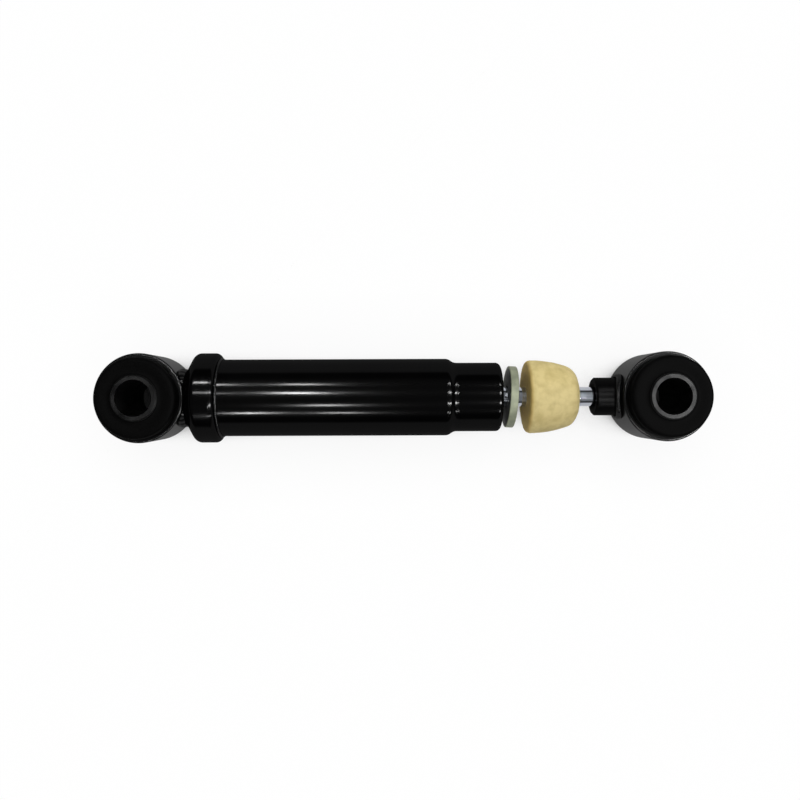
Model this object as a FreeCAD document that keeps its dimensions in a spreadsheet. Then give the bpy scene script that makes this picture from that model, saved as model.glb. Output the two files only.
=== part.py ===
import FreeCAD, Part
import math
import os

import Sketcher

# Cab shock absorber: a twin-tube oil damper with a rubber-bushed eye at each end.
# Millimetres. The damper's axis is X, from the body eye to the rod eye. The origin is the
# centre of the body eye's bore, both bores run along Z, and the part lies on its sleeve ends.

doc = FreeCAD.newDocument("cab_shock_absorber")

# Driving dimensions: name, value, what it is
SIZES = [
    ("sleeve_bore", "20", "bolt bore of each eye's inner sleeve"),
    ("sleeve_wall", "2.75", "wall of the inner sleeve"),
    ("sleeve_overhang", "9", "how far the sleeve stands out of the ring at each end"),
    ("sleeve_chamfer", "0.8", "chamfer on the sleeve's ends"),
    ("bush_fit", "0.05", "gap between the sleeve and the rubber that it turns in"),
    ("bush_thickness", "8.5", "rubber between sleeve and ring"),
    ("bush_setback", "1", "rubber face below the sleeve's end"),
    ("bush_lip", "1.1", "rubber that laps over the ring's end"),
    ("bush_edge", "2.4", "rounded edge of the rubber"),
    ("ring_wall", "3.5", "wall of the eye's steel ring"),
    ("ring_width", "34", "width of the ring along its bore"),
    ("ring_edge", "1", "rounded outer edges of the ring"),
    ("cap_floor_wall", "3.6", "thickness of the base cap's floor"),
    ("cap_side_wall", "3.6", "base cap's wall outside the tube"),
    ("cap_length", "17.9", "base cap, from its face to its lip"),
    ("cap_bevel", "4.9", "length of the bevel round the base cap's face, along the axis"),
    ("cap_bevel_depth", "8.4", "drop in radius at that bevel"),
    ("cap_corner", "4", "radius between that bevel and the cap's side"),
    ("cap_lip_edge", "3", "rounded lip of the base cap"),
    ("cap_seat", "5", "from the cap's floor to the step that the tube stands on"),
    ("cap_weld_leg", "1.4", "leg of the weld along the tube"),
    ("eye_weld_root", "4", "start of the eye's weld, from the axis"),
    ("eye_weld_reach", "16", "end of the eye's weld on the cap, from the axis"),
    ("eye_weld_length", "25", "length of the eye's weld along the bore"),
    ("eye_weld_crown", "4", "radius of the weld's rounded face"),
    ("body_length", "176", "from the cap's face to the rolled end of the tube"),
    ("tube_wall", "2", "wall of the outer tube"),
    ("neck_length", "24.8", "reduced end of the tube"),
    ("swage_length", "6.5", "taper between tube and reduced end"),
    ("swage_step", "2.3", "drop in radius at the taper"),
    ("roll_inner", "0.7", "inner radius of the rolled end"),
    ("roll_reach", "6.2", "how far the rolled end reaches inwards"),
    ("cylinder_bore", "27", "bore of the pressure tube"),
    ("cylinder_wall", "1.3", "wall of the pressure tube"),
    ("drain_gap", "2.7", "gap around the pressure tube in the reduced end"),
    ("closing_disc", "1.5", "thickness of the closing disc"),
    ("closing_clearance", "0.6", "gap between closing disc and rod"),
    ("seal_thickness", "4.5", "rod seal along the axis"),
    ("seal_fit", "0.05", "gap between the seal's lips and the rod"),
    ("seal_lip_height", "1.3", "height of the seal's lips"),
    ("seal_lip_width", "0.6", "width of a lip's tip"),
    ("seal_tongue", "1.4", "wall of the seal's tongue behind its lips"),
    ("seal_rim", "1.3", "outer rim of the seal"),
    ("seal_cavity", "2.6", "depth of the seal's spring cavity"),
    ("garter_wire", "1.4", "diameter of the garter spring"),
    ("o_ring_wire", "1.2", "diameter of the O-ring"),
    ("guide_flange", "6", "thickness of the rod guide's flange"),
    ("guide_spigot", "6", "rod guide inside the pressure tube"),
    ("guide_bush_wall", "1.4", "wall of the guide bush"),
    ("guide_bush_inset", "1", "guide bush below the guide's faces"),
    ("guide_fit", "0.05", "gap between guide bush and rod"),
    ("drain_hole", "1", "oil return holes in the guide"),
    ("foot_flange", "4", "thickness of the foot valve's flange"),
    ("foot_spigot", "6", "foot valve inside the pressure tube"),
    ("foot_overhang", "2.2", "flange outside the pressure tube"),
    ("foot_leg_wall", "2.6", "wall of the castellated feet"),
    ("foot_channel", "6", "width of the channels between the feet"),
    ("foot_stud", "6", "diameter of the foot valve's stud"),
    ("foot_head", "1.8", "height of the stud's head"),
    ("foot_head_lip", "2.6", "stud's head beyond its shank"),
    ("floor_gap", "0.5", "gap under the stud's head"),
    ("valve_disc", "0.3", "thickness of one valve disc"),
    ("disc_step", "0.7", "each disc is this much smaller in radius"),
    ("disc_lap", "0.4", "disc beyond the ports that it covers"),
    ("check_plate", "0.8", "thickness of a check plate"),
    ("spring_rise", "1.8", "height of a check spring"),
    ("spring_strip", "0.35", "thickness of a check spring"),
    ("spring_slot", "1.6", "slots between a check spring's fingers"),
    ("spring_rim", "1.6", "closed inner rim of a check spring"),
    ("hub_wall", "1.4", "hub that a check spring sits round"),
    ("hub_gap", "0.1", "gap between hub and check spring"),
    ("hub_flange", "1.8", "flange that holds a check spring down"),
    ("hub_flange_lip", "2.6", "that flange beyond its hub"),
    ("port_land", "0.3", "land between a hub and the inner ports"),
    ("inner_port", "1.8", "diameter of the inner ports"),
    ("outer_port", "2", "diameter of the outer ports"),
    ("port_wall", "1", "wall outside the outer ports"),
    ("plate_clearance", "0.2", "gap round a check plate"),
    ("rod_diameter", "11", "piston rod"),
    ("rod_spigot", "8", "rod's reduced end, for the piston"),
    ("rod_chamfer", "0.8", "chamfer on the rod's ends"),
    ("rod_groove", "0.4", "depth of the groove under the rebound stop"),
    ("rod_groove_width", "2", "width of that groove"),
    ("piston_length", "14", "piston along the axis"),
    ("piston_gap", "0.3", "gap between piston and pressure tube"),
    ("band_thickness", "1.2", "piston band, radially"),
    ("band_width", "8", "piston band along the axis"),
    ("band_fit", "0.05", "gap round the piston band"),
    ("band_split", "1", "width of the cut in the band"),
    ("support_washer", "2", "thickness of the washer under the discs"),
    ("support_lip", "2.4", "that washer beyond the rod's spigot"),
    ("nut_height", "7", "piston nut"),
    ("nut_width", "14", "piston nut across its flats"),
    ("thread_end", "1.5", "rod beyond the piston nut"),
    ("stop_offset", "6", "from the rod's shoulder to the rebound stop"),
    ("stop_length", "6", "rebound stop along the rod"),
    ("stop_wall", "5", "rebound stop beyond the rod"),
    ("cushion_length", "5.5", "rebound cushion along the rod"),
    ("cushion_wall", "5.6", "rebound cushion beyond the rod"),
    ("rebound_travel", "40", "travel outwards from the pose shown"),
    ("rebound_gap", "0.5", "left between cushion and guide at full travel"),
    ("washer_gap", "3.9", "from the tube's end to the stop washer"),
    ("washer_thickness", "4.4", "stop washer"),
    ("washer_diameter", "35", "stop washer"),
    ("washer_edge", "0.5", "rounded edges of the stop washer"),
    ("washer_fit", "0.75", "gap between stop washer and rod, all round"),
    ("washer_rest", "0.05", "what is left of that gap where the washer hangs on the rod"),
    ("washer_tilt", "3.5", "degrees that the loose washer leans"),
    ("bump_gap", "6.2", "from the stop washer to the bump stop"),
    ("bump_length", "29.9", "bump stop"),
    ("bump_diameter", "41.6", "bump stop at its widest"),
    ("bump_heel", "3", "rounded edge at the wide end"),
    ("bump_flank", "42", "radius of the bump stop's domed flank"),
    ("bump_nose_length", "3.5", "rounded nose at the narrow end"),
    ("bump_nose", "5.5", "radius of that nose"),
    ("bump_nose_face", "4", "flat of the nose beyond the rod"),
    ("bump_fit", "0.05", "gap between bump stop and rod"),
    ("stem_gap", "8.5", "from the bump stop to the rod eye's stem"),
    ("stem_diameter", "21.5", "rod eye's stem"),
    ("stem_length", "12.5", "stem, from its face to the ring"),
    ("stem_floor", "2.3", "stem between the rod's tip and the ring"),
    ("stem_chamfer", "0.9", "chamfer on the stem's face"),
    ("stem_mouth", "2", "countersink round the rod in the stem's face"),
    ("stem_weld_rise", "2.2", "height of the weld between stem and ring"),
    ("stem_weld_run", "2.8", "length of that weld along the stem"),
    ("stem_weld_crown", "3", "radius of that weld's rounded face"),
]

FOOT_FEET = 6
FOOT_PORTS = 6
PISTON_PORTS = 6
DRAIN_HOLES = 4
SPRING_FINGERS = 6
FOOT_DISCS = 3
PISTON_DISCS = 4
TURN = 360.0

sheet = doc.addObject("Spreadsheet::Sheet", "dims")
for row, (name, number, meaning) in enumerate(SIZES, start=1):
    sheet.set(f"A{row}", name)
    sheet.set(f"B{row}", number)
    sheet.setAlias(f"B{row}", name)
    sheet.set(f"C{row}", meaning)
doc.recompute()


def size(name):
    """The formula of a driving dimension."""
    return f"dims.{name}"


def total(*terms):
    """The formula of a sum. A term is a size's name or a formula in brackets."""
    parts = [term if term.startswith("(") else size(term) for term in terms]
    return "(" + " + ".join(parts) + ")"


def less(whole, *terms):
    """The formula of what is left of a formula after each term is taken away."""
    return f"({whole} - {total(*terms)})"


def half(name):
    return f"({size(name)} / 2)"


def value(formula):
    """What a formula comes to, for a first guess at a sketch's geometry."""
    return float(sheet.evalExpression(formula))


# Places and radii that several pieces share, worked out from the driving dimensions

# Eyes, from the bolt bore outwards
sleeve_r = total(half("sleeve_bore"), "sleeve_wall")
bush_r = total(sleeve_r, "bush_fit")
ring_bore_r = total(bush_r, "bush_thickness")
ring_r = total(ring_bore_r, "ring_wall")
ring_top = half("ring_width")
sleeve_top = total(ring_top, "sleeve_overhang")

# Tubes, from the pressure tube's bore outwards
cylinder_r = half("cylinder_bore")
cylinder_outer_r = total(cylinder_r, "cylinder_wall")
neck_bore_r = total(cylinder_outer_r, "drain_gap")
neck_r = total(neck_bore_r, "tube_wall")
tube_bore_r = total(neck_bore_r, "swage_step")
tube_r = total(neck_r, "swage_step")
cap_r = total(tube_r, "cap_side_wall")
cap_flat_r = less(cap_r, "cap_bevel_depth")
rod_r = half("rod_diameter")

# Along the body, from the cap's face
cap_face = ring_r
cap_floor = total(cap_face, "cap_floor_wall")
tube_seat = total(cap_floor, "cap_seat")
cap_lip = total(cap_face, "cap_length")
tube_end = total(cap_face, "body_length")
neck_start = less(tube_end, "neck_length")
swage_start = less(neck_start, "swage_length")
disc_end = less(tube_end, "tube_wall")
seal_end = less(disc_end, "closing_disc")
seal_start = less(seal_end, "seal_thickness")
guide_seat = less(seal_start, "guide_flange")
guide_face = less(guide_seat, "guide_spigot")

# Foot valve, from the cap's floor
foot_disc_stack = f"({FOOT_DISCS} * dims.valve_disc)"
foot_head_face = total(cap_floor, "floor_gap")
foot_disc_start = total(foot_head_face, "foot_head")
foot_under = total(foot_disc_start, foot_disc_stack)
foot_seat = total(foot_under, "foot_flange")
foot_top = total(foot_seat, "foot_spigot")
spring_seat = total("check_plate", "spring_rise", "spring_strip")
foot_nut_under = total(foot_top, spring_seat)
foot_nut_end = total(foot_nut_under, "hub_flange")
foot_stud_r = half("foot_stud")

# Piston stack, back from the rod's shoulder
cushion_end = less(guide_face, "rebound_gap", "rebound_travel")
cushion_start = less(cushion_end, "cushion_length")
stop_start = less(cushion_start, "stop_length")
rod_shoulder = less(stop_start, "stop_offset")
stop_plate_under = less(rod_shoulder, "hub_flange")
piston_top = less(stop_plate_under, spring_seat)
piston_under = less(piston_top, "piston_length")
piston_disc_stack = f"({PISTON_DISCS} * dims.valve_disc)"
piston_disc_end = less(piston_under, piston_disc_stack)
support_under = less(piston_disc_end, "support_washer")
nut_under = less(support_under, "nut_height")
rod_start = less(nut_under, "thread_end")
rod_spigot_r = half("rod_spigot")
piston_r = less(cylinder_r, "piston_gap")
band_r = less(cylinder_r, "band_fit")
band_bore_r = less(band_r, "band_thickness")
groove_r = less(band_bore_r, "band_fit")
groove_start = f"({total(piston_top, piston_under)} / 2 - {half('band_width')} - dims.band_fit)"
groove_end = f"({total(piston_top, piston_under)} / 2 + {half('band_width')} + dims.band_fit)"

# Loose pieces on the rod and the rod eye
washer_start = total(tube_end, "washer_gap")
washer_end = total(washer_start, "washer_thickness")
bump_start = total(washer_end, "bump_gap")
bump_end = total(bump_start, "bump_length")
stem_start = total(bump_end, "stem_gap")
rod_eye = total(stem_start, "stem_length", ring_r)
rod_tip = less(rod_eye, ring_r, "stem_floor")
stem_r = half("stem_diameter")


# Ways of making a piece


def new_body(label, at_x=None):
    """An empty body. at_x moves the finished piece along the damper's axis."""
    body = doc.addObject("PartDesign::Body", label)
    body.Label = label
    if at_x:
        body.setExpression("Placement.Base.x", at_x)
    return body


def origin_feature(body, role):
    return [feature for feature in body.Origin.OriginFeatures if feature.Role == role][0]


def plane_sketch(body, name, role, offset=None):
    """A sketch on one of the body's own planes, moved along the plane's normal by offset."""
    sketch = body.newObject("Sketcher::SketchObject", name)
    sketch.AttachmentSupport = [(origin_feature(body, role), "")]
    sketch.MapMode = "FlatFace"
    if offset:
        sketch.setExpression("AttachmentOffset.Base.z", offset)
    return sketch


def bind(sketch, constraint, formula):
    index = sketch.addConstraint(constraint)
    sketch.setExpression(f"Constraints[{index}]", formula)


def place_point(sketch, edge, point, x, y):
    """Ties a point of a sketch to two formulas. A formula of 0 puts it on the axis."""
    horizontal, vertical = -1, -2
    if x == "0":
        sketch.addConstraint(Sketcher.Constraint("PointOnObject", edge, point, vertical))
    else:
        bind(sketch, Sketcher.Constraint("DistanceX", edge, point, value(x)), x)
    if y == "0":
        sketch.addConstraint(Sketcher.Constraint("PointOnObject", edge, point, horizontal))
    else:
        bind(sketch, Sketcher.Constraint("DistanceY", edge, point, value(y)), y)


def arc_between(start, end, radius, left):
    """The short arc from start to end, turning left or right."""
    chord = end - start
    middle = (start + end) * 0.5
    across = FreeCAD.Vector(-chord.y, chord.x, 0).normalize()
    reach = math.sqrt(max(radius**2 - (chord.Length / 2) ** 2, 0))
    centre = middle + across * (reach if left else -reach)
    first, last = (start, end) if left else (end, start)
    begin = math.atan2(first.y - centre.y, first.x - centre.x)
    finish = math.atan2(last.y - centre.y, last.x - centre.x)
    circle = Part.Circle(centre, FreeCAD.Vector(0, 0, 1), radius)
    return Part.ArcOfCircle(circle, begin, finish)


def draw_outline(sketch, corners):
    """A closed outline. A corner is (x, y), or (x, y, radius, "left" or "right") where the
    edge to the next corner is an arc. Every corner and radius is tied to its formula."""
    points = [FreeCAD.Vector(value(corner[0]), value(corner[1]), 0) for corner in corners]
    first_edge = sketch.GeometryCount
    ends = []
    for index, corner in enumerate(corners):
        start = points[index]
        end = points[(index + 1) % len(points)]
        if len(corner) == 2:
            edge = sketch.addGeometry(Part.LineSegment(start, end), False)
            ends.append((edge, 1, 2))
            continue
        left = corner[3] == "left"
        edge = sketch.addGeometry(arc_between(start, end, value(corner[2]), left), False)
        ends.append((edge, 1, 2) if left else (edge, 2, 1))
    for index, (edge, start, end) in enumerate(ends):
        following = ends[(index + 1) % len(ends)]
        meeting = Sketcher.Constraint("Coincident", edge, end, following[0], following[1])
        sketch.addConstraint(meeting)
    for (edge, start, end), corner in zip(ends, corners):
        place_point(sketch, edge, start, corner[0], corner[1])
        if len(corner) > 2:
            bind(sketch, Sketcher.Constraint("Radius", edge, value(corner[2])), corner[2])
    return first_edge


def draw_circle(sketch, radius, x="0", y="0"):
    centre = FreeCAD.Vector(value(x), value(y), 0)
    circle = Part.Circle(centre, FreeCAD.Vector(0, 0, 1), value(radius))
    edge = sketch.addGeometry(circle, False)
    place_point(sketch, edge, 3, x, y)
    bind(sketch, Sketcher.Constraint("Radius", edge, value(radius)), radius)


def revolve(body, sketch, axis):
    turned = body.newObject("PartDesign::Revolution", body.Label + "_turned")
    turned.Profile = sketch
    turned.ReferenceAxis = (sketch, [axis])
    turned.Angle = TURN
    doc.recompute()
    return turned


def turned_on_axis(label, corners):
    """A piece turned about the damper's axis. Corners are (along the axis, radius)."""
    body = new_body(label)
    sketch = plane_sketch(body, label + "_section", "XY_Plane")
    draw_outline(sketch, corners)
    revolve(body, sketch, "H_Axis")
    return body


def turned_on_bore(label, corners, at_x):
    """A piece turned about an eye's bore. Corners are (radius, height)."""
    body = new_body(label, at_x)
    sketch = plane_sketch(body, label + "_section", "XZ_Plane")
    draw_outline(sketch, corners)
    revolve(body, sketch, "V_Axis")
    return body


def tube_corners(start, end, bore, outside):
    return [(start, bore), (end, bore), (end, outside), (start, outside)]


def cut_away(body, sketch, both_ways=False):
    """Cuts a sketch right through the body, back along the sketch's normal or both ways."""
    doc.recompute()
    before = body.Shape.Volume
    pocket = body.newObject("PartDesign::Pocket", sketch.Name + "_cut")
    pocket.Profile = sketch
    pocket.Type = "ThroughAll"
    pocket.Midplane = both_ways
    doc.recompute()
    if not body.Shape.Volume < before:
        raise SystemExit(f"{pocket.Name} cuts nothing")
    return pocket


def repeat_round_axis(body, feature, count):
    pattern = body.newObject("PartDesign::PolarPattern", feature.Name + "_ring")
    pattern.Originals = [feature]
    pattern.Axis = (origin_feature(body, "X_Axis"), [""])
    pattern.Angle = TURN
    pattern.Occurrences = count
    body.Tip = pattern
    doc.recompute()


def drill_ring(body, name, face, diameter, circle_r, count, turn="0"):
    """A ring of holes along the axis, drilled back from the plane at face."""
    sketch = plane_sketch(body, name, "YZ_Plane", face)
    y = f"({circle_r} * cos({turn}))"
    z = f"({circle_r} * sin({turn}))" if turn != "0" else "0"
    draw_circle(sketch, half(diameter), y, z)
    repeat_round_axis(body, cut_away(body, sketch), count)


def slot_ring(body, name, face, width, inner, outer, count):
    """A ring of radial slots, cut back from the plane at face."""
    sketch = plane_sketch(body, name, "YZ_Plane", face)
    side = half(width)
    corners = [(inner, f"(-{side})"), (outer, f"(-{side})"), (outer, side), (inner, side)]
    draw_outline(sketch, corners)
    repeat_round_axis(body, cut_away(body, sketch), count)


def ring_on_axis(label, at_x, middle_r, wire):
    """A round wire ring about the damper's axis."""
    ring = doc.addObject("Part::Torus", label)
    ring.Label = label
    ring.setExpression("Radius1", middle_r)
    ring.setExpression("Radius2", half(wire))
    ring.Placement.Rotation = FreeCAD.Rotation(FreeCAD.Vector(0, 1, 0), 90)
    ring.setExpression("Placement.Base.x", at_x)
    return ring


def disc_stack(label, first_face, step, bore, outside, count):
    """A stack of thin discs, each smaller than the one before. step is 1 or -1 along X."""
    discs = []
    for number in range(count):
        plate = doc.addObject("Part::Cylinder", f"{label}_plate_{number + 1}")
        hole = doc.addObject("Part::Cylinder", f"{label}_hole_{number + 1}")
        lowest = number if step > 0 else -(number + 1)
        for cylinder, radius in ((plate, less(outside, f"({number} * dims.disc_step)")), (hole, bore)):
            cylinder.setExpression("Radius", radius)
            cylinder.setExpression("Height", size("valve_disc"))
            cylinder.Placement.Rotation = FreeCAD.Rotation(FreeCAD.Vector(0, 1, 0), 90)
            place = f"{first_face} + {lowest} * dims.valve_disc"
            cylinder.setExpression("Placement.Base.x", place)
        disc = doc.addObject("Part::Cut", f"{label}_disc_{number + 1}")
        disc.Base = plate
        disc.Tool = hole
        discs.append(disc)
    stack = doc.addObject("Part::Compound", label)
    stack.Label = label
    stack.Links = discs
    return stack


pieces = []

# Eyes: steel ring, rubber bush and inner sleeve, the same at both ends


def eye_ring(label, at_x):
    edge = size("ring_edge")
    below = f"(-{ring_top})"
    return turned_on_bore(
        label,
        [
            (ring_bore_r, below),
            (less(ring_r, "ring_edge"), below, edge, "left"),
            (ring_r, total(below, "ring_edge")),
            (ring_r, less(ring_top, "ring_edge"), edge, "left"),
            (less(ring_r, "ring_edge"), ring_top),
            (ring_bore_r, ring_top),
        ],
        at_x,
    )


def eye_bush(label, at_x):
    """Rubber between ring and sleeve, with a rounded lip that laps over each end of the ring."""
    edge = size("bush_edge")
    face = less(sleeve_top, "bush_setback")
    lip_r = total(ring_bore_r, "bush_lip")
    return turned_on_bore(
        label,
        [
            (bush_r, f"(-{face})"),
            (less(lip_r, "bush_edge"), f"(-{face})", edge, "left"),
            (lip_r, f"(dims.bush_edge - {face})"),
            (lip_r, f"(-{ring_top})"),
            (ring_bore_r, f"(-{ring_top})"),
            (ring_bore_r, ring_top),
            (lip_r, ring_top),
            (lip_r, less(face, "bush_edge"), edge, "left"),
            (less(lip_r, "bush_edge"), face),
            (bush_r, face),
        ],
        at_x,
    )


def eye_sleeve(label, at_x):
    bore_r = half("sleeve_bore")
    shoulder = less(sleeve_top, "sleeve_chamfer")
    outer = less(sleeve_r, "sleeve_chamfer")
    return turned_on_bore(
        label,
        [
            (bore_r, f"(-{sleeve_top})"),
            (outer, f"(-{sleeve_top})"),
            (sleeve_r, f"(-{shoulder})"),
            (sleeve_r, shoulder),
            (outer, sleeve_top),
            (bore_r, sleeve_top),
        ],
        at_x,
    )


for side, place in (("body", None), ("rod", rod_eye)):
    pieces.append(eye_ring(f"{side}_eye_ring", place))
    pieces.append(eye_bush(f"{side}_eye_bush", place))
    pieces.append(eye_sleeve(f"{side}_eye_sleeve", place))

# Base cap: a pressed cup, bevelled towards the eye. The tube stands on a step inside it

bevel_slant = "sqrt(dims.cap_bevel ^ 2 + dims.cap_bevel_depth ^ 2)"
corner_run = f"(dims.cap_corner * ({bevel_slant} - dims.cap_bevel) / dims.cap_bevel_depth)"
bevel_left = f"(1 - {corner_run} / {bevel_slant})"
bevel_end = total(cap_face, f"(dims.cap_bevel * {bevel_left})")
bevel_end_r = total(cap_flat_r, f"(dims.cap_bevel_depth * {bevel_left})")
pieces.append(
    turned_on_axis(
        "base_cap",
        [
            (cap_face, "0"),
            (cap_floor, "0"),
            (cap_floor, tube_bore_r),
            (tube_seat, tube_bore_r),
            (tube_seat, tube_r),
            (cap_lip, tube_r),
            (cap_lip, less(cap_r, "cap_lip_edge"), size("cap_lip_edge"), "left"),
            (less(cap_lip, "cap_lip_edge"), cap_r),
            (total(cap_face, "cap_bevel", corner_run), cap_r, size("cap_corner"), "left"),
            (bevel_end, bevel_end_r),
            (cap_face, cap_flat_r),
        ],
    )
)
pieces.append(
    turned_on_axis(
        "cap_weld",
        [
            (cap_lip, tube_r),
            (total(cap_lip, "cap_weld_leg"), tube_r, size("cap_weld_leg"), "right"),
            (cap_lip, less(cap_r, "cap_lip_edge")),
        ],
    )
)


def body_eye_weld(label):
    """Two fillet welds in the wedges between the ring and the cap's flat face. Their ends
    follow the edge of that face."""
    body = new_body(label + "_wedges")
    sketch = plane_sketch(body, label + "_section", "XY_Plane")
    root = size("eye_weld_root")
    reach = size("eye_weld_reach")
    on_ring = [f"sqrt({ring_r} ^ 2 - {y} ^ 2)" for y in (root, reach)]
    draw_outline(
        sketch,
        [
            (cap_face, root),
            (cap_face, reach, size("eye_weld_crown"), "left"),
            (on_ring[1], reach, ring_r, "right"),
            (on_ring[0], root),
        ],
    )
    bead = body.newObject("PartDesign::Pad", label + "_bead")
    bead.Profile = sketch
    bead.Midplane = True
    bead.setExpression("Length", size("eye_weld_length"))
    doc.recompute()
    other_side = body.newObject("PartDesign::Mirrored", label + "_both_sides")
    other_side.Originals = [bead]
    other_side.MirrorPlane = (origin_feature(body, "XZ_Plane"), [""])
    body.Tip = other_side
    face_edge = doc.addObject("Part::Cylinder", label + "_face_edge")
    face_edge.setExpression("Radius", cap_flat_r)
    face_edge.setExpression("Height", cap_face)
    face_edge.Placement.Rotation = FreeCAD.Rotation(FreeCAD.Vector(0, 1, 0), 90)
    welds = doc.addObject("Part::Common", label)
    welds.Label = label
    welds.Base = body
    welds.Tool = face_edge
    doc.recompute()
    return welds


pieces.append(body_eye_weld("body_eye_weld"))

# Outer tube: the reservoir wall, swaged down at the rod end and rolled in over the closing disc

swage_radius = "((dims.swage_length ^ 2 + dims.swage_step ^ 2) / (4 * dims.swage_step))"
swage_middle = total(swage_start, half("swage_length"))
roll_outer = total("roll_inner", "tube_wall")
roll_bore_r = less(neck_r, "roll_reach")
pieces.append(
    turned_on_axis(
        "reservoir_tube",
        [
            (tube_seat, tube_bore_r),
            (swage_start, tube_bore_r, swage_radius, "right"),
            (swage_middle, less(tube_bore_r, half("swage_step")), swage_radius, "left"),
            (neck_start, neck_bore_r),
            (less(disc_end, "roll_inner"), neck_bore_r, size("roll_inner"), "right"),
            (disc_end, less(neck_bore_r, "roll_inner")),
            (disc_end, roll_bore_r),
            (tube_end, roll_bore_r),
            (tube_end, less(neck_r, roll_outer), roll_outer, "left"),
            (less(tube_end, roll_outer), neck_r),
            (neck_start, neck_r, swage_radius, "right"),
            (swage_middle, less(tube_r, half("swage_step")), swage_radius, "left"),
            (swage_start, tube_r),
            (tube_seat, tube_r),
        ],
    )
)

# Pressure tube: the piston's cylinder, held between foot valve and rod guide

pieces.append(
    turned_on_axis("pressure_tube", tube_corners(foot_seat, guide_seat, cylinder_r, cylinder_outer_r))
)

# Foot valve: a body on castellated feet, discs below it for compression, a check plate above it

foot_hub_r = total(foot_stud_r, "hub_wall")
foot_inner_circle = total(foot_hub_r, "port_land", half("inner_port"))
foot_outer_circle = less(cylinder_r, "port_wall", half("outer_port"), "plate_clearance")
foot_disc_r = total(foot_inner_circle, half("inner_port"), "disc_lap")
foot_flange_r = total(cylinder_outer_r, "foot_overhang")


def foot_valve_body(label):
    feet_bore_r = less(foot_flange_r, "foot_leg_wall")
    body = turned_on_axis(
        label,
        [
            (cap_floor, feet_bore_r),
            (foot_under, feet_bore_r),
            (foot_under, foot_stud_r),
            (foot_top, foot_stud_r),
            (foot_top, cylinder_r),
            (foot_seat, cylinder_r),
            (foot_seat, foot_flange_r),
            (cap_floor, foot_flange_r),
        ],
    )
    past_edge = total(foot_flange_r, "foot_overhang")
    channel_inner = half("foot_channel")
    slot_ring(body, "foot_channels", foot_under, "foot_channel", channel_inner, past_edge, FOOT_FEET)
    drill_ring(body, "foot_inner_ports", foot_top, "inner_port", foot_inner_circle, FOOT_PORTS)
    drill_ring(body, "foot_outer_ports", foot_top, "outer_port", foot_outer_circle, FOOT_PORTS)
    return body


pieces.append(foot_valve_body("foot_valve_body"))
pieces.append(
    turned_on_axis(
        "foot_valve_stud",
        [
            (foot_head_face, "0"),
            (total(foot_nut_end, "thread_end"), "0"),
            (total(foot_nut_end, "thread_end"), foot_stud_r),
            (foot_disc_start, foot_stud_r),
            (foot_disc_start, total(foot_stud_r, "foot_head_lip")),
            (foot_head_face, total(foot_stud_r, "foot_head_lip")),
        ],
    )
)
pieces.append(disc_stack("foot_valve_discs", foot_under, -1, foot_stud_r, foot_disc_r, FOOT_DISCS))


def flanged_hub(label, seat, flange_start, flange_end, bore, hub):
    """A hub with a flange at its far end, which holds a check spring down."""
    flange = total(hub, "hub_flange_lip")
    return turned_on_axis(
        label,
        [
            (seat, bore),
            (flange_end, bore),
            (flange_end, flange),
            (flange_start, flange),
            (flange_start, hub),
            (seat, hub),
        ],
    )


def check_spring(label, plate_face, hub, tip):
    """A coned spring disc, slotted into fingers whose tips press on the check plate."""
    inner = total(hub, "hub_gap")
    tip_back = total(plate_face, "spring_strip")
    body = turned_on_axis(
        label,
        [
            (plate_face, tip),
            (total(plate_face, "spring_rise"), inner),
            (total(tip_back, "spring_rise"), inner),
            (tip_back, tip),
        ],
    )
    back = total(tip_back, "spring_rise")
    slot_inner = total(inner, "spring_rim")
    slot_outer = total(tip, "spring_rim")
    slot_ring(body, label + "_slots", back, "spring_slot", slot_inner, slot_outer, SPRING_FINGERS)
    return body


pieces.append(
    flanged_hub("foot_valve_nut", foot_top, foot_nut_under, foot_nut_end, foot_stud_r, foot_hub_r)
)
foot_plate_face = total(foot_top, "check_plate")
foot_plate_r = less(cylinder_r, "plate_clearance", "plate_clearance")
foot_plate_bore = less(foot_outer_circle, half("outer_port"), "disc_lap")
pieces.append(
    turned_on_axis(
        "foot_check_plate", tube_corners(foot_top, foot_plate_face, foot_plate_bore, foot_plate_r)
    )
)
pieces.append(check_spring("foot_check_spring", foot_plate_face, foot_hub_r, foot_outer_circle))

# Rod guide, seal and closing disc: they fill the reduced end of the tube

guide_bush_r = total(rod_r, "guide_fit", "guide_bush_wall")
o_ring_seat_r = less(neck_bore_r, "o_ring_wire")
o_ring_seat = less(seal_start, "o_ring_wire")
drain_circle = f"({total(cylinder_outer_r, o_ring_seat_r)} / 2)"


def rod_guide(label):
    body = turned_on_axis(
        label,
        [
            (guide_face, guide_bush_r),
            (seal_start, guide_bush_r),
            (seal_start, o_ring_seat_r),
            (o_ring_seat, o_ring_seat_r),
            (o_ring_seat, neck_bore_r),
            (guide_seat, neck_bore_r),
            (guide_seat, cylinder_r),
            (guide_face, cylinder_r),
        ],
    )
    drill_ring(body, "guide_drains", seal_start, "drain_hole", drain_circle, DRAIN_HOLES)
    return body


pieces.append(rod_guide("rod_guide"))
pieces.append(
    turned_on_axis(
        "guide_bush",
        tube_corners(
            total(guide_face, "guide_bush_inset"),
            less(seal_start, "guide_bush_inset"),
            total(rod_r, "guide_fit"),
            guide_bush_r,
        ),
    )
)
pieces.append(
    ring_on_axis(
        "guide_o_ring",
        less(seal_start, half("o_ring_wire")),
        less(neck_bore_r, half("o_ring_wire")),
        "o_ring_wire",
    )
)

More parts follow.
